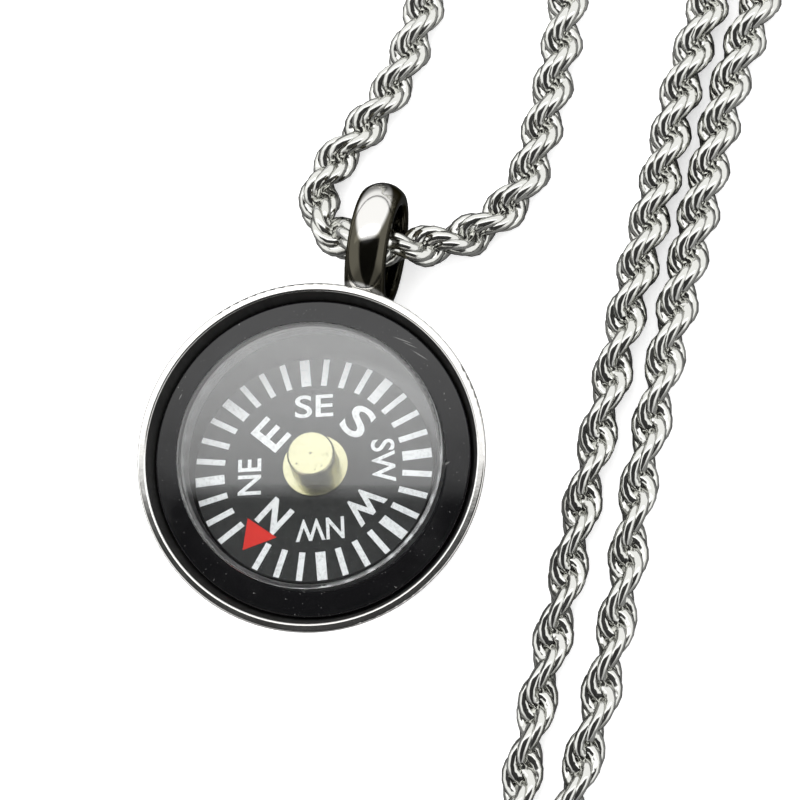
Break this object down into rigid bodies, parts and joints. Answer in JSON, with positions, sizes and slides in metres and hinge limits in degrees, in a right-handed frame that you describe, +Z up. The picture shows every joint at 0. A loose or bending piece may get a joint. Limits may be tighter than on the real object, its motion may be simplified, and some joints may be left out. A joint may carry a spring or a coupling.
{
  "type": "compass pendant on a rope chain",
  "caption": "Round steel pendant with a working-style compass under a clear cap, and a bail ring that hangs it on a closed rope chain; a barrel clasp closes the loop.",
  "frame": {"origin": "centre of the case's flat back, on the surface that the pendant lies on", "axes": "+Z up from the surface, out of the compass's face; +Y along the long way of the laid loop, from the case past its bail; +X to the right, towards the chain's long strands"},
  "size_m": [0.0522, 0.1636, 0.0097],
  "materials": {
    "case_steel": "polished",
    "dish_plastic": "high gloss",
    "lens_clear": "clear",
    "pin_steel": "satin",
    "card_face": "matt, printed",
    "hub_brass": "satin, nickelled",
    "chain_steel": "polished",
    "clasp_steel": "polished"
  },
  "bodies": {
    "pendant": {"case": "case_steel", "capsule_dish": "dish_plastic", "lens": "lens_clear", "pivot_pin": "pin_steel", "chain": "chain_steel", "clasp": "clasp_steel"},
    "card": {"card": "card_face", "hub": "hub_brass"}
  },
  "joints": [
    {"name": "card_turn", "type": "hinge", "parent": "pendant", "child": "card", "pos_m": [-0.00005, 0.00005, 0.00635], "axis": [0.0163, 0.2329, 0.9724], "continuous": true}
  ]
}
